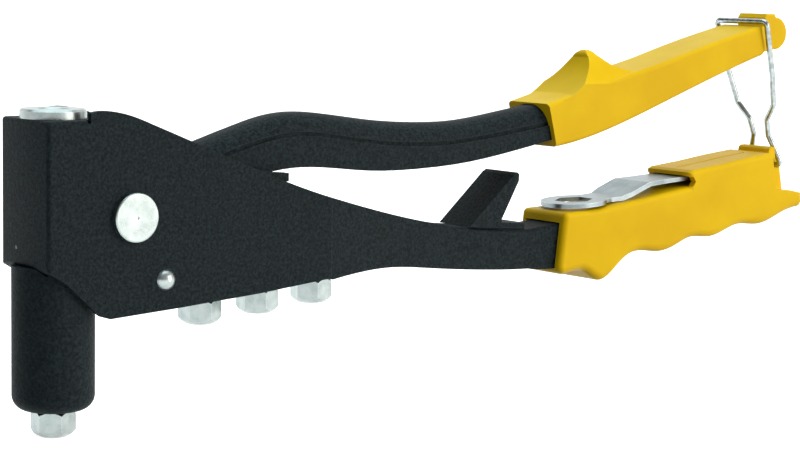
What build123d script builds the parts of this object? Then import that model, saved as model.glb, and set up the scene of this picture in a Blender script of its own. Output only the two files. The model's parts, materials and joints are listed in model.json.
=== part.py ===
from build123d import *
import os
from math import cos, radians, sin, sqrt, tan

# Hand riveter. Millimetres, +Z up along the nose, +X towards the handle ends, Y across the thickness.
# The origin is the centre of the fitted nosepiece's mouth. The tool is shown with its handles latched shut.

# head and arm, one pressed sheet
sheet = 1.6
head_half = 11.3
arm_half = 6.7
front_corner_x = -7.7
front_crown_x = -8.4
taper_start_x = 75.0
taper_end_x = 118.0
tang_end_x = 232.0
head_top_z = 77.1
cheek_low_z = 28.0
fold_radius = 1.1
tab_end_x = 8.0
fold_end_x = 2.8
relief_width = 1.0
relief_depth = 0.8

# pivot and the small rivet
pivot_x = 15.7
pivot_z = 53.5
pin_radius = 3.95
pin_hole_radius = 4.0
pin_head_radius = 6.05
pin_head_height = 1.6
clip_radius = 5.6
clip_height = 1.0
rivet_x = 24.8
rivet_z = 37.7
rivet_radius = 1.6
rivet_head_radius = 2.6
rivet_head_height = 1.7

# barrel and nosepieces
barrel_radius = 10.0
barrel_low_z = 6.7
barrel_top_z = 42.3
barrel_edge = 3.8
barrel_flat = 9.62
barrel_floor_z = 14.9
hex_flats = 9.5
hex_shoulder_z = 6.7
thread_radius = 3.9
thread_hole_radius = 3.98
spigot_radius = 3.2
nose_length = 16.6

# jaw case, jaws, pusher, spring and top cap
case_radius = 6.6
case_bore_radius = 6.68
case_low_z = 22.5
case_top_z = 62.0
case_inner_radius = 5.2
case_mouth_radius = 3.35
trunnion_radius = 2.0
trunnion_out = 9.3
jaw_low_z = 24.2
jaw_length = 12.0
jaw_low_radius = 3.0
jaw_half_angle = 9.0
jaw_gap = 0.3
jaw_grip_radius = 1.0
jaw_arc = 100.0
pusher_low_z = 36.5
pusher_flange_z = 46.0
pusher_top_z = 56.0
pusher_bore_radius = 1.9
spring_wire_radius = 0.5
spring_mean_radius = 4.05
spring_turns = 9
cap_radius = 8.0
cap_height = 2.3
cap_neck_radius = 6.0
cap_spigot_radius = 3.2
cap_bore_radius = 2.6
cap_low_z = 70.0

# moving handle
fork_rest_angle = 11.7
fork_reach = 19.2
fork_half_height = 4.85
fork_slot_half = 2.35
fork_slot_end = 15.3
fork_inner = 6.9
fork_outer = 9.35
eye_radius = 9.0
lever_half = 7.0
lever_upper_half = 6.6
crease_half = 6.0
crease_height = 1.1
lever_pocket_half = 4.4
top_round = 5.6
lever_wall = 2.4
bush_radius = 5.9

# grips
upper_grip_half = 8.6
lower_grip_half = 9.4
grip_fit = 0.08
mouth_gap = 0.35
mouth_round = 1.6
finger_round = 2.2
top_edge_round = 1.5
horn_peak = (173.2, 91.9)
horn_tip_half = 2.6
knob_half = 5.7
neck_half = 3.8

# latch wire
latch_x = 251.2
latch_z = 56.0
latch_lean = 0.3
wire_radius = 0.85
latch_hole_radius = 0.93

# nosepiece wrench
wrench_thickness = 1.2
wrench_slope = 0.06
wrench_ring_x = 170.2
wrench_ring_radius = 9.5
wrench_hex_flats = 9.8
slot_floor_z = 51.4
slot_height = 3.3
slot_start_x = 208.4
slot_end_x = 226.0

os.makedirs("parts", exist_ok=True)


def side_face(top, bottom):
    """A closed side outline: one smooth curve along the top, one along the bottom, straight ends."""
    Spline(*top)
    Line(top[-1], bottom[-1])
    Spline(*bottom)
    Line(bottom[0], top[0])


def shifted(points, dz):
    return [(x, z + dz) for x, z in points]


def axle_plane(y):
    """A sketch plane facing -Y at the given Y, with X across and Z up."""
    return Plane.XZ.offset(-y)


# --- head frame: cheeks, front web, tapered arm and the tang inside the lower grip ---
cheek_top = [(20.5, 75.8), (41.7, 67.3), (56.0, 61.7), (74.9, 55.3)]
arm_top = [(74.9, 55.3), (97.2, 49.4), (122.0, 44.5), (147.4, 42.3)]
arm_bottom = [(147.0, 31.3), (131.2, 32.1), (114.0, 33.7), (95.0, 35.5), (84.0, 35.0), (75.6, 34.0)]
tang_top = [(147.4, 42.3), (158.0, 43.2), (205.0, 48.0), (tang_end_x, 50.0)]
tang_bottom = [(tang_end_x, 43.0), (205.0, 37.8), (186.0, 35.6), (168.0, 31.9), (147.0, 31.3)]

with BuildPart() as pressing:
    with BuildSketch(Plane.XY.offset(cheek_low_z)):
        with BuildLine():
            Polyline(
                (front_corner_x, head_half),
                (taper_start_x, head_half),
                (taper_end_x, arm_half),
                (tang_end_x, arm_half),
                (tang_end_x, -arm_half),
                (taper_end_x, -arm_half),
                (taper_start_x, -head_half),
                (front_corner_x, -head_half),
            )
            ThreePointArc((front_corner_x, -head_half), (front_crown_x, 0), (front_corner_x, head_half))
        make_face()
        front = vertices().group_by(Axis.X)[0]
        fillet(front, fold_radius)
        with BuildLine():
            Polyline(
                (front_corner_x + sheet, head_half - sheet),
                (taper_start_x, head_half - sheet),
                (taper_end_x, arm_half - sheet),
                (tang_end_x + 1, arm_half - sheet),
                (tang_end_x + 1, sheet - arm_half),
                (taper_end_x, sheet - arm_half),
                (taper_start_x, sheet - head_half),
                (front_corner_x + sheet, sheet - head_half),
            )
            ThreePointArc(
                (front_corner_x + sheet, sheet - head_half),
                (front_crown_x + sheet, 0),
                (front_corner_x + sheet, head_half - sheet),
            )
        make_face(mode=Mode.SUBTRACT)
    extrude(amount=55)
    with BuildSketch(Plane.XZ):
        with BuildLine():
            Line((front_crown_x - 1, head_top_z - sheet), (front_crown_x - 1, 46.2))
            TangentArc((front_crown_x - 1, 46.2), (-7.2, 41.4), tangent=(0, -1))
            Polyline((-7.2, 41.4), (-5.7, 40.5), (-2.8, 38.7), (0.7, 35.4), (5.0, 31.3), (6.8, 30.0), (9.1, 29.3))
            Polyline((9.1, 29.3), (27.6, 30.4), (52.6, 32.2))
            Polyline((52.6, 32.2), (73.9, 34.3), (75.6, 34.0))
            Spline(*reversed(arm_bottom))
            Spline(*reversed(tang_bottom))
            Line((tang_end_x, 43.0), (tang_end_x, 50.0))
            Spline(*reversed(tang_top))
            Spline(*reversed(arm_top))
            Spline(*reversed(cheek_top))
            Spline((20.5, 75.8), (15.8, 77.6), (10.7, 78.9), (6.1, 79.2), (fold_end_x + relief_width, 78.8))
            Line((fold_end_x + relief_width, 78.8), (fold_end_x + relief_width, head_top_z))
            Line((fold_end_x + relief_width, head_top_z), (front_crown_x - 1, head_top_z))
            Line((front_crown_x - 1, head_top_z), (front_crown_x - 1, head_top_z - sheet))
        make_face()
    extrude(amount=head_half + 1, both=True, mode=Mode.INTERSECT)
    # closed top of the arm and tang
    with BuildSketch(Plane.XZ):
        with BuildLine():
            Polyline((118.0, 45.2), (122.0, 44.5), (147.4, 42.3), (158.0, 43.2), (205.0, 48.0), (tang_end_x, 50.0))
            Line((tang_end_x, 50.0), (tang_end_x, 50.0 - sheet))
            Polyline(
                (tang_end_x, 50.0 - sheet),
                (205.0, 48.0 - sheet),
                (158.0, 43.2 - sheet),
                (147.4, 42.3 - sheet),
                (122.0, 44.5 - sheet),
                (118.0, 45.2 - sheet),
                (118.0, 45.2),
            )
        make_face()
    extrude(amount=arm_half - sheet + 0.2, both=True)
    # folded tab that closes the top of the head, bored for the cap
    with BuildSketch(Plane.XY.offset(head_top_z - sheet)):
        with Locations(((front_corner_x + tab_end_x) / 2 + 0.4, 0)):
            Rectangle(tab_end_x - front_corner_x - 0.8, 2 * (head_half - sheet) + 0.4)
    extrude(amount=sheet)
    with BuildSketch(Plane.XY.offset(head_top_z - sheet - 1)):
        Circle(cap_neck_radius + 0.05)
    extrude(amount=sheet + 2, mode=Mode.SUBTRACT)
    # bend relief in each cheek behind the fold
    with BuildSketch(Plane.XY.offset(head_top_z - relief_depth)):
        for side in (1, -1):
            with Locations((fold_end_x + relief_width / 2, side * (head_half - sheet / 2))):
                Rectangle(relief_width, sheet + 0.4)
    extrude(amount=4, mode=Mode.SUBTRACT)
    # pivot and rivet holes through both cheeks
    with BuildSketch(Plane.XZ):
        with Locations((pivot_x, pivot_z)):
            Circle(pin_hole_radius)
        with Locations((rivet_x, rivet_z)):
            Circle(rivet_radius + 0.05)
    extrude(amount=head_half + 1, both=True, mode=Mode.SUBTRACT)
    # rolled edges along the head's top and along the arm
    rim = [
        e
        for e in edges().filter_by_position(Axis.Z, head_top_z - 0.01, head_top_z + 0.01)
        if (abs(e.center().Y) > head_half - 0.4 and e.center().X < fold_end_x)
        or e.center().X < front_corner_x + 0.5
    ]
    fillet(rim, 0.8)
    arm_edges = [
        e
        for e in edges()
        if abs(abs(e.center().Y) - arm_half) < 0.01 and e.center().Z > 41 and e.length > 10
    ]
    fillet(arm_edges, 1.1)
# the pressing is kept as two sections that meet where the arm starts to taper
with BuildPart() as frame_head:
    add(pressing.part)
    split(bisect_by=Plane.YZ.offset(taper_start_x), keep=Keep.BOTTOM)
with BuildPart() as frame_arm:
    add(pressing.part)
    split(bisect_by=Plane.YZ.offset(taper_start_x), keep=Keep.TOP)
frame_head.part.label = "head_frame"
export_step(frame_head.part, "parts/head_frame.step")
frame_arm.part.label = "frame_arm"
export_step(frame_arm.part, "parts/frame_arm.step")

# --- barrel that carries the fitted nosepiece ---
with BuildPart() as barrel:
    with BuildSketch(Plane.XZ):
        with BuildLine():
            Polyline(
                (barrel_radius - barrel_edge, barrel_low_z),
                (thread_hole_radius, barrel_low_z),
                (thread_hole_radius, barrel_floor_z),
                (case_bore_radius, barrel_floor_z),
                (case_bore_radius, barrel_top_z),
                (barrel_radius, barrel_top_z),
                (barrel_radius, barrel_low_z + barrel_edge),
            )
            RadiusArc(
                (barrel_radius, barrel_low_z + barrel_edge),
                (barrel_radius - barrel_edge, barrel_low_z),
                barrel_edge,
            )
        make_face()
    revolve(axis=Axis.Z)
    # flats where the cheeks clasp it
    with BuildSketch(Plane.XY.offset(28.5)):
        Rectangle(2 * barrel_radius + 2, 2 * barrel_radius + 2)
        Rectangle(2 * barrel_radius + 2, 2 * barrel_flat, mode=Mode.SUBTRACT)
    extrude(amount=20, mode=Mode.SUBTRACT)
    # front cut back under the front web
    with BuildSketch(Plane.XZ):
        with BuildLine():
            Polyline((-11.0, 41.9), (-8.2, 41.9), (-5.9, 39.9), (-5.9, 50.0), (-11.0, 50.0), (-11.0, 41.9))
        make_face()
    extrude(amount=barrel_radius + 1, both=True, mode=Mode.SUBTRACT)
barrel.part.label = "barrel"
export_step(barrel.part, "parts/barrel.step")


def nosepiece_profile(bore_radius):
    """Half section of a nosepiece: bored, threaded shank, inner spigot."""
    Polyline(
        (bore_radius, 0),
        (bore_radius, nose_length),
        (spigot_radius - 0.6, nose_length),
        (spigot_radius, nose_length - 0.6),
        (spigot_radius, nose_length - 2.2),
        (thread_radius, nose_length - 2.9),
        (thread_radius, hex_shoulder_z),
        (4.5, hex_shoulder_z),
        (5.6, hex_shoulder_z - 1.1),
        (5.6, 2.05),
        (4.8, 1.1),
        (4.1, 0.55),
        (3.3, 0.15),
        (2.5, 0),
        (bore_radius, 0),
    )


def make_nosepiece(name, bore_radius, x, z, turn):
    """One hexagonal nosepiece, standing on its mouth at (x, 0, z) and turned about its axis."""
    with BuildPart() as nose:
        with BuildSketch(Plane.XY):
            RegularPolygon(hex_flats / 2, 6, major_radius=False, rotation=turn)
        extrude(amount=nose_length)
        with BuildSketch(Plane.XZ):
            with BuildLine():
                nosepiece_profile(bore_radius)
            make_face()
        revolve(axis=Axis.Z, mode=Mode.INTERSECT)
        # thread relief above the hexagon
        with BuildSketch(Plane.XY.offset(hex_shoulder_z)):
            Circle(thread_radius + 1.0)
            Circle(thread_radius - 0.35, mode=Mode.SUBTRACT)
        extrude(amount=0.8, mode=Mode.SUBTRACT)
    part = nose.part.moved(Location((x, 0, z)))
    part.label = name
    export_step(part, "parts/" + name + ".step")


# --- the fitted nosepiece and the spares, which hang in a carrier between the cheeks ---
spare_x = [42.05, 59.7, 76.8]
carrier_slope = 0.0795
carrier_under_z = 30.75
carrier_start_x = 36.5


def carrier_z(x):
    return carrier_under_z + carrier_slope * (x - carrier_start_x)


make_nosepiece("nosepiece_fitted", 1.65, 0, 0, 22.0)
spare_bores = [1.4, 1.15, 0.85]
spare_turns = [28.7, 20.0, 14.0]
spare_names = ["nosepiece_spare_large", "nosepiece_spare_medium", "nosepiece_spare_small"]
for spare in range(3):
    x = spare_x[spare]
    z = carrier_z(x - 5.5) - hex_shoulder_z - 0.15
    make_nosepiece(spare_names[spare], spare_bores[spare], x, z, spare_turns[spare])

# --- carrier strip for the spares, hooked round the small rivet ---
carrier_thickness = 2.0
carrier_end_x = 84.5
with BuildPart() as nosepiece_carrier:
    with BuildSketch(Plane.XZ):
        with BuildLine():
            Polyline(
                (30.5, carrier_z(30.5)),
                (carrier_end_x, carrier_z(carrier_end_x)),
                (carrier_end_x, carrier_z(carrier_end_x) + carrier_thickness),
                (31.2, carrier_z(31.2) + carrier_thickness),
                (27.4, 38.4),
                (25.6, 36.4),
                (30.5, carrier_z(30.5)),
            )
        make_face()
        with Locations((rivet_x, rivet_z)):
            Circle(3.2)
    extrude(amount=8.2, both=True)
    with BuildSketch(Plane.XZ):
        with Locations((rivet_x, rivet_z)):
            Circle(rivet_radius + 0.05)
    extrude(amount=9, both=True, mode=Mode.SUBTRACT)
    with BuildSketch(Plane.XY.offset(20)):
        with Locations(*[(x, 0) for x in spare_x]):
            Circle(thread_hole_radius)
    extrude(amount=30, mode=Mode.SUBTRACT)
nosepiece_carrier.part.label = "nosepiece_carrier"
export_step(nosepiece_carrier.part, "parts/nosepiece_carrier.step")

# --- small domed rivet through both cheeks ---
rivet_face = head_half + 0.02
dome_radius = (rivet_head_radius**2 + rivet_head_height**2) / (2 * rivet_head_height)
dome_side_x = rivet_x + rivet_head_radius / 2
dome_side_y = rivet_face + rivet_head_height - dome_radius + sqrt(dome_radius**2 - rivet_head_radius**2 / 4)
with BuildPart() as carrier_rivet:
    with BuildSketch(Plane.XY.offset(rivet_z)):
        with BuildLine():
            Line((rivet_x, -rivet_face - rivet_head_height), (rivet_x, rivet_face + rivet_head_height))
            ThreePointArc(
                (rivet_x, rivet_face + rivet_head_height),
                (dome_side_x, dome_side_y),
                (rivet_x + rivet_head_radius, rivet_face),
            )
            Polyline(
                (rivet_x + rivet_head_radius, rivet_face),
                (rivet_x + rivet_radius, rivet_face),
                (rivet_x + rivet_radius, -rivet_face),
                (rivet_x + rivet_head_radius, -rivet_face),
            )
            ThreePointArc(
                (rivet_x + rivet_head_radius, -rivet_face),
                (dome_side_x, -dome_side_y),
                (rivet_x, -rivet_face - rivet_head_height),
            )
        make_face()
    revolve(axis=Axis((rivet_x, 0, rivet_z), (0, 1, 0)))
carrier_rivet.part.label = "carrier_rivet"
export_step(carrier_rivet.part, "parts/carrier_rivet.step")

# --- pivot pin: flat head on the near side, grooved end on the far side ---
far_face = head_half + 0.05
with BuildPart() as pivot_pin:
    with BuildSketch(axle_plane(-head_half - 0.02)):
        with Locations((pivot_x, pivot_z)):
            Circle(pin_head_radius)
    extrude(amount=pin_head_height)
    rim = edges().filter_by(GeomType.CIRCLE).sort_by(Axis.Y)[0]
    fillet(rim, 0.45)
    with BuildSketch(axle_plane(-head_half - 0.02)):
        with Locations((pivot_x, pivot_z)):
            Circle(pin_radius)
    extrude(amount=-(2 * head_half + 2.8))
    end = edges().filter_by(GeomType.CIRCLE).sort_by(Axis.Y)[-1]
    chamfer(end, 0.5)
    with BuildSketch(axle_plane(far_face)):
        with Locations((pivot_x, pivot_z)):
            Circle(pin_radius + 1)
            Circle(pin_radius - 0.6, mode=Mode.SUBTRACT)
    extrude(amount=-clip_height - 0.1, mode=Mode.SUBTRACT)
    with BuildSketch(axle_plane(-head_half - 0.02 - pin_head_height)):
        with Locations((pivot_x, pivot_z)):
            Circle(0.45)
    extrude(amount=-0.25, mode=Mode.SUBTRACT)
pivot_pin.part.label = "pivot_pin"
export_step(pivot_pin.part, "parts/pivot_pin.step")

# --- snap ring in the pin's groove ---
with BuildPart() as pivot_clip:
    with BuildSketch(axle_plane(far_face + 0.02)):
        with Locations((pivot_x, pivot_z)):
            Circle(clip_radius)
            Circle(pin_radius - 0.55, mode=Mode.SUBTRACT)
        with Locations((pivot_x - 4.5, pivot_z - 2.5)):
            Rectangle(6.5, 3.2, rotation=30, mode=Mode.SUBTRACT)
    extrude(amount=-clip_height)
pivot_clip.part.label = "pivot_clip"
export_step(pivot_clip.part, "parts/pivot_clip.step")

# --- folded stop that the moving handle meets at full squeeze ---
with BuildPart() as handle_stop:
    with BuildSketch(Plane.XZ):
        with BuildLine():
            Polyline(
                (125.7, 44.25),
                (141.3, 57.9),
                (142.5, 58.5),
                (143.1, 57.9),
                (143.0, 56.1),
                (136.9, 45.6),
                (136.9, 43.3),
                (125.7, 44.25),
            )
        make_face()
    extrude(amount=arm_half, both=True)
    # the rear is open between the two gussets
    with BuildSketch(Plane.XZ):
        with BuildLine():
            Polyline((130.0, 44.0), (130.2, 45.6), (140.9, 55.0), (146.0, 55.0), (142.0, 43.0), (130.0, 44.0))
        make_face()
    extrude(amount=arm_half - sheet, both=True, mode=Mode.SUBTRACT)
    # foot plate on the arm
    with BuildSketch(Plane.XZ):
        with BuildLine():
            Polyline((134.0, 43.55), (134.0, 45.1), (147.6, 44.0), (147.6, 42.4), (134.0, 43.55))
        make_face()
    extrude(amount=arm_half - 0.9, both=True)
    plate_corners = edges().filter_by(Axis.Z).group_by(Axis.X)[-1]
    fillet(plate_corners, 2.5)
handle_stop.part.label = "handle_stop"
export_step(handle_stop.part, "parts/handle_stop.step")

# --- top cap with the mandrel exit ---
with BuildPart() as top_cap:
    with BuildSketch(Plane.XZ):
        with BuildLine():
            Polyline(
                (cap_bore_radius, cap_low_z),
                (cap_spigot_radius, cap_low_z),
                (cap_spigot_radius, head_top_z - sheet - 1.3),
                (cap_neck_radius, head_top_z - sheet - 1.3),
                (cap_neck_radius, head_top_z + 0.02),
                (cap_radius, head_top_z + 0.02),
                (cap_radius, head_top_z + cap_height - 0.5),
                (cap_radius - 0.5, head_top_z + cap_height),
                (cap_bore_radius + 1.3, head_top_z + cap_height),
                (cap_bore_radius, head_top_z + cap_height - 0.8),
                (cap_bore_radius, cap_low_z),
            )
        make_face()
    revolve(axis=Axis.Z)
top_cap.part.label = "top_cap"
export_step(top_cap.part, "parts/top_cap.step")

# --- jaw case: a tube with a cone inside that closes the jaws ---
trunnion_z = pivot_z + pivot_x * tan(radians(fork_rest_angle))
jaw_tan = tan(radians(jaw_half_angle))
cone_gap = jaw_gap / cos(radians(jaw_half_angle))
cone_top_z = jaw_low_z + (case_inner_radius - jaw_low_radius - cone_gap) / jaw_tan
with BuildPart() as jaw_case:
    with BuildSketch(Plane.XZ):
        with BuildLine():
            Polyline(
                (case_mouth_radius, case_low_z),
                (case_radius - 0.5, case_low_z),
                (case_radius, case_low_z + 0.5),
                (case_radius, case_top_z - 0.5),
                (case_radius - 0.5, case_top_z),
                (case_inner_radius, case_top_z),
                (case_inner_radius, cone_top_z),
                (jaw_low_radius + cone_gap, jaw_low_z),
                (case_mouth_radius, case_low_z),
            )
        make_face()
    revolve(axis=Axis.Z)
    with BuildSketch(Plane.XZ):
        with Locations((0, trunnion_z)):
            Circle(1.4)
    extrude(amount=case_radius + 2, both=True, mode=Mode.SUBTRACT)
jaw_case.part.label = "jaw_case"
export_step(jaw_case.part, "parts/jaw_case.step")

# --- two stub trunnions pressed into the jaw case, which the fork lifts ---
with BuildPart() as case_trunnions:
    for side in (1, -1):
        with BuildSketch(axle_plane(side * (case_radius + 0.02))):
            with Locations((0, trunnion_z)):
                Circle(trunnion_radius)
        extrude(amount=-side * (trunnion_out - case_radius - 0.02))
        with BuildSketch(axle_plane(side * (case_inner_radius + 0.25))):
            with Locations((0, trunnion_z)):
                Circle(1.38)
        extrude(amount=-side * (case_radius - case_inner_radius))
case_trunnions.part.label = "case_trunnions"
export_step(case_trunnions.part, "parts/case_trunnions.step")

# --- three jaws, each a third of a toothed cone ---
jaw_names = ["jaw_front", "jaw_left", "jaw_right"]
jaw_turns = [180.0, 300.0, 60.0]
for jaw in range(3):
    with BuildPart() as one_jaw:
        with BuildSketch(Plane.XZ):
            with BuildLine():
                Polyline(
                    (jaw_grip_radius, jaw_low_z),
                    (jaw_low_radius, jaw_low_z),
                    (jaw_low_radius + jaw_length * jaw_tan, jaw_low_z + jaw_length),
                    (jaw_grip_radius + 1.4, jaw_low_z + jaw_length),
                    (jaw_grip_radius, jaw_low_z + jaw_length - 2.5),
                    (jaw_grip_radius, jaw_low_z),
                )
            make_face()
        revolve(axis=Axis.Z, revolution_arc=jaw_arc)
        # grip teeth across the inner face
        for tooth in range(6):
            z = jaw_low_z + 1.0 + 1.4 * tooth
            with BuildSketch(Plane.XZ):
                with BuildLine():
                    Polyline(
                        (jaw_grip_radius - 0.5, z),
                        (jaw_grip_radius - 0.5, z + 0.9),
                        (jaw_grip_radius + 0.35, z),
                        (jaw_grip_radius - 0.5, z),
                    )
                make_face()
            revolve(axis=Axis.Z, revolution_arc=360, mode=Mode.SUBTRACT)
    third = one_jaw.part.rotate(Axis.Z, jaw_turns[jaw] - jaw_arc / 2)
    third.label = jaw_names[jaw]
    export_step(third, "parts/" + jaw_names[jaw] + ".step")

# --- jaw pusher under the spring ---
with BuildPart() as jaw_pusher:
    with BuildSketch(Plane.XZ):
        with BuildLine():
            Polyline(
                (pusher_bore_radius, pusher_low_z),
                (4.4, pusher_low_z),
                (case_inner_radius - 0.08, pusher_low_z + 2.0),
                (case_inner_radius - 0.08, pusher_flange_z),
                (3.1, pusher_flange_z),
                (3.1, pusher_top_z - 0.5),
                (2.6, pusher_top_z),
                (pusher_bore_radius, pusher_top_z),
                (pusher_bore_radius, pusher_low_z),
            )
        make_face()
    revolve(axis=Axis.Z)
jaw_pusher.part.label = "jaw_pusher"
export_step(jaw_pusher.part, "parts/jaw_pusher.step")

# --- spring between the pusher and the cap ---
spring_low_z = pusher_flange_z + 0.1 + spring_wire_radius
spring_high_z = head_top_z - sheet - 1.4 - spring_wire_radius
spring_height = spring_high_z - spring_low_z
with BuildPart() as jaw_spring:
    with BuildLine():
        coil = Helix(
            pitch=spring_height / spring_turns,
            height=spring_height,
            radius=spring_mean_radius,
            center=(0, 0, spring_low_z),
        )
    with BuildSketch(Plane(coil @ 0, z_dir=coil % 0)):
        Circle(spring_wire_radius)
    sweep(path=coil, is_frenet=True)
jaw_spring.part.label = "jaw_spring"
export_step(jaw_spring.part, "parts/jaw_spring.step")

# --- moving handle: fork, eyes on the pivot, pressed channel and tang ---
lever_top = [(23.0, 64.6), (41.0, 70.2), (53.5, 74.0), (59.4, 75.6), (65.3, 76.6), (71.3, 76.8), (83.9, 75.5)]
lever_top += [(97.3, 73.8), (111.3, 72.9), (125.7, 73.1), (140.9, 75.0), (165.0, 79.0), (190.0, 85.4), (228.0, 95.0)]
lever_crease = [(23.0, 57.0), (46.6, 67.0), (56.7, 69.7), (68.5, 71.0), (79.0, 69.9), (94.5, 67.8)]
lever_crease += [(114.8, 67.0), (131.4, 68.3), (147.1, 70.3), (165.0, 73.0), (190.0, 79.5), (228.0, 91.0)]
lever_bottom = [(23.0, 48.5), (36.0, 54.8), (50.0, 60.3), (66.7, 63.0), (90.1, 61.2), (106.2, 61.0)]
lever_bottom += [(122.9, 62.0), (140.2, 64.5), (158.0, 67.8), (180.0, 72.8), (200.0, 79.2), (228.0, 88.4)]


def fork_point(u, v):
    """A point u along the fork from the pivot and v above its centre line, in the side view."""
    a = radians(fork_rest_angle)
    return (pivot_x - u * cos(a) + v * sin(a), pivot_z + u * sin(a) + v * cos(a))


def lever_shape(top, crease, bottom, grow):
    """The lever's outline, rounded above the crease and flat-sided below it, grown by a clearance."""
    with BuildPart() as shape:
        with BuildSketch(Plane.XZ):
            with BuildLine():
                side_face(shifted(top, grow), shifted(bottom, -grow))
            make_face()
        extrude(amount=lever_upper_half + grow, both=True)
        long_edges = ShapeList(e for e in edges() if e.length > 60 and abs(e.center().Y) > 1)
        fillet(long_edges.sort_by(Axis.Z)[-2:], top_round)
        with BuildSketch(Plane.XZ):
            with BuildLine():
                side_face(crease, shifted(bottom, -grow))
            make_face()
        extrude(amount=lever_half + grow, both=True)
    return shape.part


lever_blank = lever_shape(lever_top, lever_crease, lever_bottom, 0.0)
with BuildPart() as handle_lever:
    add(lever_blank)
    # crease along each side
    for side in (1, -1):
        with BuildSketch(axle_plane(side * crease_half)):
            with BuildLine():
                side_face(shifted(lever_crease, crease_height), lever_crease)
            make_face()
        extrude(amount=-side * 2, mode=Mode.SUBTRACT)
    # two side plates with the eyes and the fork
    for side in (1, -1):
        with BuildSketch(axle_plane(side * fork_inner)):
            with BuildLine():
                Polyline(
                    fork_point(0, -fork_half_height),
                    fork_point(fork_reach - 1.5, -fork_half_height),
                    fork_point(fork_reach, -fork_half_height + 1.5),
                    fork_point(fork_reach, fork_half_height - 1.5),
                    fork_point(fork_reach - 1.5, fork_half_height),
                    fork_point(0, fork_half_height),
                    fork_point(0, -fork_half_height),
                )
            make_face()
            with Locations((pivot_x, pivot_z)):
                Circle(eye_radius)
            with BuildLine():
                Polyline(
                    (pivot_x, pivot_z + eye_radius - 0.3),
                    (30.0, 65.0),
                    (46.0, 63.4),
                    (62.6, 62.0),
                    (62.6, 60.0),
                    (48.0, 56.0),
                    (30.0, 47.5),
                    (pivot_x + 1, pivot_z - eye_radius + 0.3),
                    (pivot_x, pivot_z + eye_radius - 0.3),
                )
            make_face()
        extrude(amount=-side * (fork_outer - fork_inner))
    # open slot of the fork
    with BuildSketch(Plane.XZ):
        with BuildLine():
            Polyline(
                fork_point(fork_slot_end, fork_slot_half),
                fork_point(fork_reach + 2, fork_slot_half),
                fork_point(fork_reach + 2, -fork_slot_half),
                fork_point(fork_slot_end, -fork_slot_half),
                fork_point(fork_slot_end, fork_slot_half),
            )
        make_face()
        with Locations(fork_point(fork_slot_end, 0)):
            Circle(fork_slot_half)
    extrude(amount=fork_outer + 1, both=True, mode=Mode.SUBTRACT)
    # hollow, open underneath
    pocket_top = [(30.0, 64.2), (56.3, 72.4), (67.5, 74.4), (86.9, 72.6), (111.3, 70.6), (128.3, 71.1)]
    pocket_top += [(147.0, 73.6), (165.0, 76.4), (190.0, 82.6), (224.0, 91.0)]
    pocket_low = [(30.0, 45.0), (50.0, 55.0), (66.7, 60.0), (90.1, 58.5), (106.2, 58.0), (122.9, 59.0)]
    pocket_low += [(140.2, 61.5), (180.0, 69.5), (224.0, 83.5)]
    with BuildSketch(Plane.XZ):
        with BuildLine():
            side_face(pocket_top, pocket_low)
        make_face()
    extrude(amount=lever_pocket_half, both=True, mode=Mode.SUBTRACT)
    # bore for the bush and pin
    with BuildSketch(Plane.XZ):
        with Locations((pivot_x, pivot_z)):
            Circle(pin_hole_radius)
    extrude(amount=fork_outer + 1, both=True, mode=Mode.SUBTRACT)
handle_lever.part.label = "handle_lever"
export_step(handle_lever.part, "parts/handle_lever.step")

# --- spacer bush between the lever's eyes ---
with BuildPart() as pivot_bush:
    with BuildSketch(Plane.XZ):
        with Locations((pivot_x, pivot_z)):
            Circle(bush_radius)
            Circle(pin_hole_radius, mode=Mode.SUBTRACT)
    extrude(amount=fork_inner - 0.05, both=True)
pivot_bush.part.label = "pivot_bush"
export_step(pivot_bush.part, "parts/pivot_bush.step")

# --- upper grip ---
grip_mouth_top = (151.9, 77.3)
grip_mouth_low = (155.2, 65.2)
upper_grip_top = [grip_mouth_top, (157.2, 78.7), (167.5, 81.5), (187.0, 86.1), (199.0, 88.9), (208.0, 91.4)]
upper_grip_top += [(225.9, 96.0), (238.4, 98.8)]
upper_grip_low = [grip_mouth_low, (165.6, 66.9), (179.6, 70.6), (198.7, 76.9), (218.5, 83.6), (240.6, 90.4)]

# thumb horn: a concave front rising to a narrow peak
with BuildPart() as horn:
    with BuildSketch(Plane.XZ):
        with BuildLine():
            Spline((158.0, 78.3), (164.0, 81.6), (168.6, 85.6), (171.4, 89.9), tangents=[(1, 0.32), (0.45, 1)])
            ThreePointArc((171.4, 89.9), horn_peak, (174.9, 90.6))
            Spline((174.9, 90.6), (178.5, 88.0), (182.5, 86.5), (190.0, 86.6), tangents=[(1, -0.75), (1, 0.22)])
            Polyline((190.0, 86.6), (190.0, 78.0), (160.0, 72.0), (158.0, 78.3))
        make_face()
    extrude(amount=upper_grip_half, both=True)
    with BuildSketch(Plane.YZ.offset(155)):
        with BuildLine():
            Line((-upper_grip_half, 70), (upper_grip_half, 70))
            Line((upper_grip_half, 70), (upper_grip_half, 82.6))
            Spline(
                (upper_grip_half, 82.6),
                (horn_tip_half + 2.7, 87.2),
                (horn_tip_half, 90.6),
                (0, 92.0),
                (-horn_tip_half, 90.6),
                (-horn_tip_half - 2.7, 87.2),
                (-upper_grip_half, 82.6),
            )
            Line((-upper_grip_half, 82.6), (-upper_grip_half, 70))
        make_face()
    extrude(amount=50, mode=Mode.INTERSECT)

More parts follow.
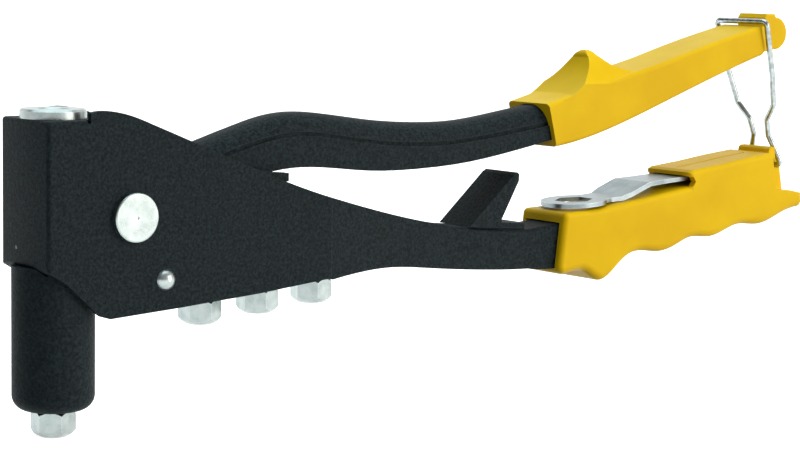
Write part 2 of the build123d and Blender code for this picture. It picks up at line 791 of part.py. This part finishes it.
# end knob and the tab behind the latch notch
with BuildPart() as knob:
    with BuildSketch(Plane.XZ):
        with BuildLine():
            Polyline((234.0, 96.0), (242.3, 98.6), (242.3, 101.2), (243.1, 102.3), (246.8, 102.3), (247.4, 101.3))
            ThreePointArc((247.4, 101.3), (252.3, 96.4), (246.9, 91.6))
            Polyline((246.9, 91.6), (244.4, 91.2), (234.0, 89.0), (234.0, 96.0))
        make_face()
    extrude(amount=knob_half, both=True)
    fillet(edges().group_by(Axis.Y)[0] + edges().group_by(Axis.Y)[-1], 0.6)

# pocket that takes the lever's tang
tang_roof = [(140.0, 75.2), (147.0, 76.1), (165.0, 79.0), (190.0, 85.4), (228.0, 95.0)]
tang_crease = [(140.0, 69.5), (147.1, 70.3), (165.0, 73.0), (190.0, 79.5), (228.0, 91.0)]
tang_floor = [(140.2, 64.5), (158.0, 67.8), (180.0, 72.8), (200.0, 79.2), (228.0, 88.4)]
lever_pocket = lever_shape(tang_roof, tang_crease, tang_floor, grip_fit)

with BuildPart() as grip_upper:
    with BuildSketch(Plane.XZ):
        with BuildLine():
            side_face(upper_grip_top, upper_grip_low)
        make_face()
    extrude(amount=upper_grip_half, both=True)
    fillet(edges().filter_by(GeomType.LINE).group_by(Axis.X)[-1], 2.4)
    long_edges = [e for e in edges() if e.length > 60]
    fillet(long_edges, 1.3)
    add(horn.part)
    add(knob.part)
    add(lever_pocket, mode=Mode.SUBTRACT)
grip_upper.part.label = "grip_upper"
export_step(grip_upper.part, "parts/grip_upper.step")

# --- lower grip ---
lower_wave = [(156.6, 28.6), (162.0, 29.4), (166.8, 29.5), (173.0, 26.3), (180.8, 30.4), (186.0, 33.3)]
lower_wave += [(191.5, 33.6), (198.0, 33.0), (204.5, 34.5), (210.5, 36.4), (219.0, 36.1), (230.8, 39.1)]
lower_wave += [(240.0, 38.7), (250.0, 41.6), (257.2, 43.1)]
with BuildPart() as grip_deck:
    with BuildSketch(Plane.XZ):
        with BuildLine():
            Polyline(
                (slot_start_x, 45.0),
                (slot_start_x, 55.8),
                (209.7, 56.4),
                (221.2, 57.6),
                (232.0, 59.0),
                (243.6, 60.2),
                (246.0, 49.6),
                (230.0, 45.0),
                (slot_start_x, 45.0),
            )
        make_face()
    extrude(amount=lower_grip_half, both=True)
    deck_sides = [e for e in edges() if abs(e.center().Y) > lower_grip_half - 0.1]
    deck_front = [e for e in deck_sides if e.center().X < slot_start_x + 0.01]
    deck_top = [e for e in deck_sides if e.center().Z > 56.0 and e.center().X < 242]
    fillet(deck_front + deck_top, top_edge_round)

with BuildPart() as grip_lower:
    with BuildSketch(Plane.XZ):
        with BuildLine():
            Spline(*lower_wave)
            Polyline(
                (257.2, 43.1),
                (256.9, 47.6),
                (251.8, 48.6),
                (246.3, 48.9),
                (245.0, 53.6),
                (slot_start_x, slot_floor_z),
                (188.1, 48.8),
                (172.2, 46.9),
                (158.7, 46.4),
                (156.6, 28.6),
            )
        make_face()
    extrude(amount=lower_grip_half, both=True)
    # rounded top edges, mouth corners and finger side
    sides = [e for e in edges() if abs(e.center().Y) > lower_grip_half - 0.01]
    fillet([e for e in sides if e.center().Z > 46.3 and 160 < e.center().X < slot_start_x + 20], top_edge_round)
    sides = [e for e in edges() if abs(e.center().Y) > lower_grip_half - 0.01]
    fillet([e for e in sides if e.center().X < 159 and e.length > 10], mouth_round)
    finger_edges = [e for e in edges() if abs(e.center().Y) > lower_grip_half - 0.1 and e.length > 90]
    fillet(finger_edges, finger_round)
    add(grip_deck.part)
    # narrow neck that carries the latch's feet, and the lug in front of it
    with BuildSketch(Plane.XZ):
        with BuildLine():
            Polyline((242.0, 46.0), (242.0, 59.5), (248.0, 59.3), (252.6, 58.2), (254.8, 47.5), (242.0, 46.0))
        make_face()
    extrude(amount=neck_half, both=True)
    with BuildSketch(Plane.XZ):
        with BuildLine():
            Polyline((244.9, 58.6), (245.6, 61.2), (246.2, 61.7), (248.1, 61.8), (248.3, 58.2), (244.9, 58.6))
        make_face()
    extrude(amount=6.3, both=True)
    # slot under the raised block for the wrench's tail
    with BuildSketch(Plane.XZ):
        with BuildLine():
            Polyline(
                (slot_start_x - 1, slot_floor_z - wrench_slope),
                (slot_end_x, slot_floor_z + wrench_slope * (slot_end_x - slot_start_x)),
                (slot_end_x, slot_floor_z + slot_height + wrench_slope * (slot_end_x - slot_start_x)),
                (slot_start_x - 1, slot_floor_z + slot_height - wrench_slope),
                (slot_start_x - 1, slot_floor_z - wrench_slope),
            )
        make_face()
    extrude(amount=7.4, both=True, mode=Mode.SUBTRACT)
    # its rounded mouth shows on both sides
    with BuildSketch(Plane.XZ):
        with BuildLine():
            Polyline(
                (slot_start_x - 1, slot_floor_z + 0.1),
                (slot_start_x + 1.2, slot_floor_z + 0.2),
                (slot_start_x + 2.2, slot_floor_z + 1.6),
                (slot_start_x + 1.2, slot_floor_z + slot_height - 0.2),
                (slot_start_x - 1, slot_floor_z + slot_height - 0.1),
                (slot_start_x - 1, slot_floor_z + 0.1),
            )
        make_face()
    extrude(amount=lower_grip_half + 1, both=True, mode=Mode.SUBTRACT)
    # shallow groove along the block's top
    with BuildSketch(Plane.XZ):
        with BuildLine():
            Polyline(
                (212.0, 56.1),
                (232.0, 58.5),
                (241.0, 59.4),
                (241.0, 62.0),
                (212.0, 60.0),
                (212.0, 56.1),
            )
        make_face()
    extrude(amount=0.5, both=True, mode=Mode.SUBTRACT)
    # pocket for the frame's tang
    tang_pocket_top = [(140.0, 42.8), (147.4, 42.3), (158.0, 43.2), (205.0, 48.0), (tang_end_x + 0.2, 50.0)]
    tang_pocket_low = [(140.0, 31.8), (147.0, 31.3), (168.0, 31.9), (186.0, 35.6), (205.0, 37.8)]
    tang_pocket_low += [(tang_end_x + 0.2, 43.0)]
    with BuildSketch(Plane.XZ):
        with BuildLine():
            side_face(shifted(tang_pocket_top, mouth_gap), shifted(tang_pocket_low, -mouth_gap))
        make_face()
    extrude(amount=arm_half + mouth_gap, both=True, mode=Mode.SUBTRACT)
    # holes for the latch's feet
    with BuildSketch(Plane.XZ):
        with Locations((latch_x, latch_z)):
            Circle(latch_hole_radius)
    extrude(amount=neck_half + 1, both=True, mode=Mode.SUBTRACT)
grip_lower.part.label = "grip_lower"
export_step(grip_lower.part, "parts/grip_lower.step")

# --- latch: one bent wire, its feet turned in ---
latch_plane = Plane(origin=(latch_x, 0, latch_z), x_dir=(0, 1, 0), z_dir=(1, 0, latch_lean))
latch_half = [(2.2, 0.0), (6.3, 0.0), (4.6, 5.2), (3.0, 9.6), (3.5, 14.6), (7.3, 19.6), (8.8, 29.2), (10.15, 46.0)]
latch_path = latch_half + [(-y, z) for y, z in reversed(latch_half)]
with BuildPart() as latch_wire:
    with BuildLine(latch_plane):
        bend = FilletPolyline(*latch_path, radius=1.35)
    with BuildSketch(Plane(bend @ 0, z_dir=bend % 0)):
        Circle(wire_radius)
    sweep(path=bend, transition=Transition.RIGHT)
latch_wire.part.label = "latch_wire"
export_step(latch_wire.part, "parts/latch_wire.step")


# --- nosepiece wrench: ring end, kinked neck, flat tail ---
def wrench_z(x):
    return 47.2 + wrench_slope * (x - 161.0)


wrench_rise = 3.14
with BuildPart() as nosepiece_wrench:
    with BuildSketch(Plane.XZ):
        with BuildLine():
            Polyline(
                (159.0, wrench_z(159.0)),
                (183.7, wrench_z(183.7)),
                (194.0, wrench_z(194.0) + wrench_rise),
                (224.6, wrench_z(224.6) + wrench_rise),
                (224.6, wrench_z(224.6) + wrench_rise + wrench_thickness),
                (193.4, wrench_z(193.4) + wrench_rise + wrench_thickness),
                (183.1, wrench_z(183.1) + wrench_thickness),
                (159.0, wrench_z(159.0) + wrench_thickness),
                (159.0, wrench_z(159.0)),
            )
        make_face()
    extrude(amount=11, both=True)
    with BuildSketch(Plane.XY.offset(40)):
        with Locations((wrench_ring_x, 0)):
            Circle(wrench_ring_radius)
        with BuildLine():
            Polyline((wrench_ring_x + 6, 6.6), (179.6, 5.9), (182.0, 6.1), (186.6, 7.3), (194.5, 7.3), (200.0, 6.6))
            Polyline((200.0, 6.6), (221.6, 6.0), (224.6, 3.2), (224.6, -3.2), (221.6, -6.0), (200.0, -6.6))
            Polyline((200.0, -6.6), (194.5, -7.3), (186.6, -7.3), (182.0, -6.1), (179.6, -5.9))
            Polyline((179.6, -5.9), (wrench_ring_x + 6, -6.6), (wrench_ring_x + 6, 6.6))
        make_face()
        with Locations((wrench_ring_x, 0)):
            RegularPolygon(wrench_hex_flats / 2, 6, major_radius=False, rotation=30, mode=Mode.SUBTRACT)
    extrude(amount=25, mode=Mode.INTERSECT)
nosepiece_wrench.part.label = "nosepiece_wrench"
export_step(nosepiece_wrench.part, "parts/nosepiece_wrench.step")
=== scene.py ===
import json
import math

import bpy
from mathutils import Matrix, Vector

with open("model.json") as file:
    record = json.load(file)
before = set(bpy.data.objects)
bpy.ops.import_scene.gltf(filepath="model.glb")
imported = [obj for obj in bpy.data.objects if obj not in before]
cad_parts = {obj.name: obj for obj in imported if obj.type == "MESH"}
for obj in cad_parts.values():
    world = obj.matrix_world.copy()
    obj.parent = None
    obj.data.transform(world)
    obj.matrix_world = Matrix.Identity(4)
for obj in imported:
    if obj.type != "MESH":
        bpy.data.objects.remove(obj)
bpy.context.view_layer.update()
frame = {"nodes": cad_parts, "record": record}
print("stage: frame loaded,", len(frame["nodes"]), "nodes")


def linearColour(hexCode):
    # sRGB hex to the linear colour that shaders expect
    channels = [int(hexCode[i:i + 2], 16) / 255 for i in (0, 2, 4)]
    return [c / 12.92 if c <= 0.04045 else ((c + 0.055) / 1.055) ** 2.4 for c in channels] + [1.0]


def addNode(tree, kind, settings=None, links=None, stops=None, **attributes):
    # settings and links go by socket name or number; stops are for a colour ramp
    node = tree.nodes.new(kind)
    for name, value in attributes.items():
        setattr(node, name, value)
    for socket, value in (settings or {}).items():
        node.inputs[socket].default_value = value
    for socket, source in (links or {}).items():
        tree.links.new(source, node.inputs[socket])
    if stops:
        for element, (place, colour) in zip(node.color_ramp.elements, stops):
            element.position = place
            element.color = linearColour(colour)
    return node


def startMaterial(name, settings):
    material = bpy.data.materials.new(name)
    material.use_nodes = True
    tree = material.node_tree
    tree.nodes.clear()
    shader = addNode(tree, "ShaderNodeBsdfPrincipled", settings)
    addNode(tree, "ShaderNodeOutputMaterial", links={"Surface": shader.outputs[0]})
    return material, tree, shader


def edgeMask(tree, radius, reach):
    # white where the surface turns over an edge, black on flat ground
    rounded = addNode(tree, "ShaderNodeBevel", {"Radius": radius}, samples=4)
    flat = addNode(tree, "ShaderNodeNewGeometry")
    align = addNode(tree, "ShaderNodeVectorMath", None, {0: rounded.outputs[0], 1: flat.outputs["Normal"]},
                    operation="DOT_PRODUCT")
    return addNode(tree, "ShaderNodeMapRange", {"From Min": 1.0, "From Max": 1.0 - reach},
                   {"Value": align.outputs["Value"]}).outputs[0]


def finishSurface(tree, shader, look, colour, height, roughSource):
    # the last three links every finish shares: colour, roughness and bump
    tree.links.new(colour, shader.inputs["Base Color"])
    rough = addNode(tree, "ShaderNodeMapRange", {"To Min": look["roughLow"], "To Max": look["roughHigh"]},
                    {"Value": roughSource})
    tree.links.new(rough.outputs[0], shader.inputs["Roughness"])
    bump = addNode(tree, "ShaderNodeBump", {"Strength": look["bump"], "Distance": look["depth"]},
                   {"Height": height})
    tree.links.new(bump.outputs[0], shader.inputs["Normal"])


# Epoxy powder coat, sprayed dry and baked: a sandy blue-black skin with a dull sheen, paler on edges, where a
# highlight is painted in along with some rubbing.
# The grain is really about 0.1 mm, and is drawn coarser so that it shows.
powder = {
    "low": "0b1214", "high": "242f33", "highlitEdge": "3a474a", "glintColour": "b9c0bf",
    "grain": 0.0008, "fleck": 0.00035, "roughLow": 0.72, "roughHigh": 0.5, "bump": 1.0, "depth": 0.00016,
    "edge": 0.0005, "edgeReach": 0.35, "fleckShare": 0.6, "specular": 0.09,
    # a small pale mark painted on the front of the head as a glint
    "glintAt": (-0.0081, 0.0030, 0.0463), "glintSize": 0.0009, "glintRagged": 0.0008,
}


def powderCoat():
    material, tree, shader = startMaterial("blackPowderCoat", {"Specular IOR Level": powder["specular"]})
    coords = addNode(tree, "ShaderNodeTexCoord").outputs["Object"]
    grain, fleck = [
        addNode(tree, "ShaderNodeTexNoise", {"Scale": 1 / powder[size], "Detail": 2.0},
                {"Vector": coords}).outputs["Fac"]
        for size in ("grain", "fleck")
    ]
    height = addNode(tree, "ShaderNodeMath", {1: powder["fleckShare"]}, {0: fleck, 2: grain},
                     operation="MULTIPLY_ADD").outputs[0]
    speck = addNode(tree, "ShaderNodeValToRGB", None, {"Fac": height},
                    [(0.62, powder["low"]), (1.0, powder["high"])]).outputs[0]
    # paler where the surface turns over an edge: a painted edge highlight, patched by the grain, with some real
    # rubbing
    edge = edgeMask(tree, powder["edge"], powder["edgeReach"])
    highlightAndRub = addNode(tree, "ShaderNodeMath", None, {0: edge, 1: grain}, operation="MULTIPLY").outputs[0]
    highlitAndWorn = addNode(tree, "ShaderNodeMix", {7: linearColour(powder["highlitEdge"])}, {0: highlightAndRub, 6: speck},
                   data_type="RGBA").outputs[2]
    # one small painted glint low on the front of the head, ragged by the grain
    away = addNode(tree, "ShaderNodeVectorMath", {1: powder["glintAt"]}, {0: coords},
                   operation="DISTANCE").outputs["Value"]
    ragged = addNode(tree, "ShaderNodeMath", {1: powder["glintRagged"]}, {0: grain, 2: away},
                     operation="MULTIPLY_ADD").outputs[0]
    glintMask = addNode(tree, "ShaderNodeMath", {1: powder["glintSize"]}, {0: ragged},
                   operation="LESS_THAN").outputs[0]
    colour = addNode(tree, "ShaderNodeMix", {7: linearColour(powder["glintColour"])}, {0: glintMask, 6: highlitAndWorn},
                     data_type="RGBA").outputs[2]
    finishSurface(tree, shader, powder, colour, height, fleck)
    return material


# Zinc-plated steel, barrel-tumbled: satin, faintly clouded, with edges painted bright as a highlight, partly
# real burnishing
zincPlate = {
    "base": "b0b8b7", "cloud": "98a2a1", "burnishedAndHighlit": "e0e5e4", "cloudSize": 0.003,
    "roughLow": 0.2, "roughHigh": 0.38, "bump": 0.3, "depth": 0.00003,
}
# Zinc-plated strip, pressed flat: greyer and bluer than the turned pieces, with the same pale rim of painted
# highlight and burnishing
zincStrip = {
    "base": "98a3a6", "cloud": "838e92", "burnishedAndHighlit": "e4e8e7", "cloudSize": 0.004,
    "roughLow": 0.24, "roughHigh": 0.4, "bump": 0.3, "depth": 0.00003,
}
# Drawn spring wire: smooth from the die, so brighter and tighter in its highlight
drawnWire = {
    "base": "b4bbbb", "cloud": "8d9596", "burnishedAndHighlit": "d5d9d9", "cloudSize": 0.0015,
    "roughLow": 0.15, "roughHigh": 0.3, "bump": 0.2, "depth": 0.00002,
}
# Ground and hardened tool steel: grey and satin
toolSteel = {
    "base": "8d8f92", "cloud": "77797c", "burnishedAndHighlit": "a9abae", "cloudSize": 0.003,
    "roughLow": 0.25, "roughHigh": 0.42, "bump": 0.3, "depth": 0.00003,
}
# Heat-blackened steel: nearly black, with brown-grey edges that are partly a painted highlight and partly worn
blackenedSteel = {
    "base": "3c3d3f", "cloud": "2e2f31", "burnishedAndHighlit": "606264", "cloudSize": 0.003,
    "roughLow": 0.35, "roughHigh": 0.5, "bump": 0.3, "depth": 0.00003,
}
# What all the steels share. The tumbled pits are really finer, and are drawn at 0.45 mm so that they show.
steel = {"pitSize": 0.00045, "cloudShare": 0.5, "edge": 0.0003, "edgeReach": 0.5}


def bareSteel(name, look):
    material, tree, shader = startMaterial(name, {"Metallic": 1.0})
    coords = addNode(tree, "ShaderNodeTexCoord").outputs["Object"]
    cloud = addNode(tree, "ShaderNodeTexNoise", {"Scale": 1 / look["cloudSize"], "Detail": 4.0},
                    {"Vector": coords}).outputs["Fac"]
    pits = addNode(tree, "ShaderNodeTexNoise", {"Scale": 1 / steel["pitSize"], "Detail": 2.0},
                   {"Vector": coords}).outputs["Fac"]
    height = addNode(tree, "ShaderNodeMath", {1: steel["cloudShare"]}, {0: cloud, 2: pits},
                     operation="MULTIPLY_ADD").outputs[0]
    clouded = addNode(tree, "ShaderNodeValToRGB", None, {"Fac": cloud},
                      [(0.35, look["cloud"]), (0.65, look["base"])]).outputs[0]
    # edges paler: a painted edge highlight, partly real burnishing
    colour = addNode(tree, "ShaderNodeMix", {7: linearColour(look["burnishedAndHighlit"])},
                     {0: edgeMask(tree, steel["edge"], steel["edgeReach"]), 6: clouded},
                     data_type="RGBA").outputs[2]
    finishSurface(tree, shader, look, colour, height, cloud)
    return material


# Polypropylene, moulded in a spark-eroded tool: satin and even, and light bleeds in a little.
# The eroded skin is really about 0.05 mm, and is drawn coarser so that it shows.
plastic = {
    "base": "eec400", "flow": "e6b900", "highlitEdge": "f3cf2e", "flowSize": 0.018, "skin": 0.0006,
    "roughLow": 0.34, "roughHigh": 0.5, "bump": 0.25, "depth": 0.00004, "specular": 0.1,
    "edge": 0.0006, "edgeReach": 0.6, "flowShare": 4.0, "bleed": 0.06, "bleedRadius": (0.002, 0.0014, 0.0004),
}


def yellowPlastic():
    material, tree, shader = startMaterial("yellowPolypropylene", {
        "Specular IOR Level": plastic["specular"], "Subsurface Weight": plastic["bleed"],
        "Subsurface Radius": plastic["bleedRadius"], "Subsurface Scale": 1.0,
    })
    coords = addNode(tree, "ShaderNodeTexCoord").outputs["Object"]
    flow = addNode(tree, "ShaderNodeTexNoise", {"Scale": 1 / plastic["flowSize"], "Detail": 3.0},
                   {"Vector": coords}).outputs["Fac"]
    skin = addNode(tree, "ShaderNodeTexNoise", {"Scale": 1 / plastic["skin"], "Detail": 2.0},
                   {"Vector": coords}).outputs["Fac"]
    height = addNode(tree, "ShaderNodeMath", {1: plastic["flowShare"]}, {0: flow, 2: skin},
                     operation="MULTIPLY_ADD").outputs[0]
    flowed = addNode(tree, "ShaderNodeValToRGB", None, {"Fac": flow},
                     [(0.35, plastic["flow"]), (0.65, plastic["base"])]).outputs[0]
    # edges paler yellow: a painted edge highlight
    colour = addNode(tree, "ShaderNodeMix", {7: linearColour(plastic["highlitEdge"])},
                     {0: edgeMask(tree, plastic["edge"], plastic["edgeReach"]), 6: flowed},
                     data_type="RGBA").outputs[2]
    finishSurface(tree, shader, plastic, colour, height, skin)
    return material


finishes = {
    "black_powder_coat": powderCoat(),
    "zinc_plate": bareSteel("zincPlate", zincPlate),
    "zinc_strip": bareSteel("zincStrip", zincStrip),
    "bright_wire": bareSteel("drawnWire", drawnWire),
    "tool_steel": bareSteel("toolSteel", toolSteel),
    "dark_steel": bareSteel("blackenedSteel", blackenedSteel),
    "yellow_plastic": yellowPlastic(),
}
ownFinish = {"nosepiece_wrench": "zinc_strip"}  # pieces whose finish differs from their slot's usual one
for entry in frame["record"]["subparts"]:
    slots = frame["nodes"][entry["node"]].data.materials
    slots.clear()
    slots.append(finishes[ownFinish.get(entry["node"], entry["material_slot"])])
print("stage: materials on every node")

# Pale floor that curves up behind the tool; it shows white but throws no light back on the tool's sides
floor = {"colour": "fbfbfa", "glow": 0.8, "reach": 6.0, "height": 3.0, "bendStart": 1.2, "bendRadius": 0.8,
         "bendSteps": 10}
awayFromCamera = Vector((0.6215, 0.7751, 0.0)).normalized()


def makeFloor():
    start, radius = floor["bendStart"], floor["bendRadius"]
    profile = [(-floor["reach"], 0.0), (start, 0.0)]
    for step in range(1, floor["bendSteps"] + 1):
        turn = math.radians(90 / floor["bendSteps"] * step)
        profile.append((start + radius * math.sin(turn), radius - radius * math.cos(turn)))
    profile.append((start + radius, floor["height"]))
    across = Vector((awayFromCamera.y, -awayFromCamera.x, 0.0))
    points = [
        awayFromCamera * distance + across * side + Vector((0, 0, height))
        for distance, height in profile for side in (-floor["reach"], floor["reach"])
    ]
    strips = [(2 * i, 2 * i + 1, 2 * i + 3, 2 * i + 2) for i in range(len(profile) - 1)]
    mesh = bpy.data.meshes.new("floor")
    mesh.from_pydata(points, [], strips)
    mesh.polygons.foreach_set("use_smooth", [True] * len(strips))
    mesh.update()
    mesh.materials.append(startMaterial("matteBoard", {
        "Base Color": linearColour(floor["colour"]), "Roughness": 0.9,
        "Emission Color": linearColour(floor["colour"]), "Emission Strength": floor["glow"],
    })[0])
    board = bpy.data.objects.new("floor", mesh)
    bpy.context.scene.collection.objects.link(board)
    board.visible_diffuse = False


makeFloor()

# Two soft lamps, placed in metres: a warm one low on the near right, a cool one overhead
lamps = {
    "nearRight": {"at": (0.62, -0.85, 0.3), "size": 0.8, "power": 6.6, "colour": "fff6ea"},
    "overhead": {"at": (0.1, 0.15, 1.2), "size": 1.3, "power": 10.5, "colour": "e6fbff"},
}
toolMiddle = Vector((0.125, 0.0, 0.05))
for name, lamp in lamps.items():
    data = bpy.data.lights.new(name, "AREA")
    data.size = lamp["size"]
    data.energy = lamp["power"]
    data.color = linearColour(lamp["colour"])[:3]
    piece = bpy.data.objects.new(name, data)
    bpy.context.scene.collection.objects.link(piece)
    piece.location = lamp["at"]
    piece.rotation_euler = (toolMiddle - piece.location).to_track_quat("-Z", "Y").to_euler()

# The room is pale and dims towards the far left, as beside a dark curtain
room = {"bright": 0.7, "dim": 0.02, "brightSide": (0.8, -0.55, 0.25)}
world = bpy.data.worlds.new("studio")
bpy.context.scene.world = world
world.use_nodes = True
tree = world.node_tree
direction = addNode(tree, "ShaderNodeTexCoord").outputs["Generated"]
side = addNode(tree, "ShaderNodeVectorMath", {1: Vector(room["brightSide"]).normalized()}, {0: direction},
               operation="DOT_PRODUCT").outputs["Value"]
level = addNode(tree, "ShaderNodeMapRange", {"From Min": -1.0, "To Min": room["dim"], "To Max": room["bright"]},
                {"Value": side}).outputs[0]
tree.links.new(level, tree.nodes["Background"].inputs["Strength"])
tree.nodes["Background"].inputs["Color"].default_value = (1.0, 1.0, 1.0, 1.0)

# Camera, in metres in the tool's own frame
view = {
    "at": (-0.2643, -0.4623, 0.1131), "ahead": (0.62151, 0.77505, -0.11417), "roll": 1.0,
    "lens": 99.54, "sensor": 36.0, "near": 0.01, "far": 20.0,
}
camera = bpy.data.objects.new("camera", bpy.data.cameras.new("camera"))
bpy.context.scene.collection.objects.link(camera)
ahead = Vector(view["ahead"]).normalized()
right = Vector((ahead.y, -ahead.x, 0.0)).normalized()
facing = Matrix((right, right.cross(ahead), -ahead)).transposed()
roll = Matrix.Rotation(math.radians(view["roll"]), 3, "Z")
camera.matrix_world = Matrix.Translation(view["at"]) @ (facing @ roll).to_4x4()
camera.data.lens = view["lens"]
camera.data.sensor_width = view["sensor"]
camera.data.clip_start = view["near"]
camera.data.clip_end = view["far"]
bpy.context.scene.camera = camera
bpy.context.scene.view_settings.view_transform = "Standard"
print("stage: floor, lamps and camera")
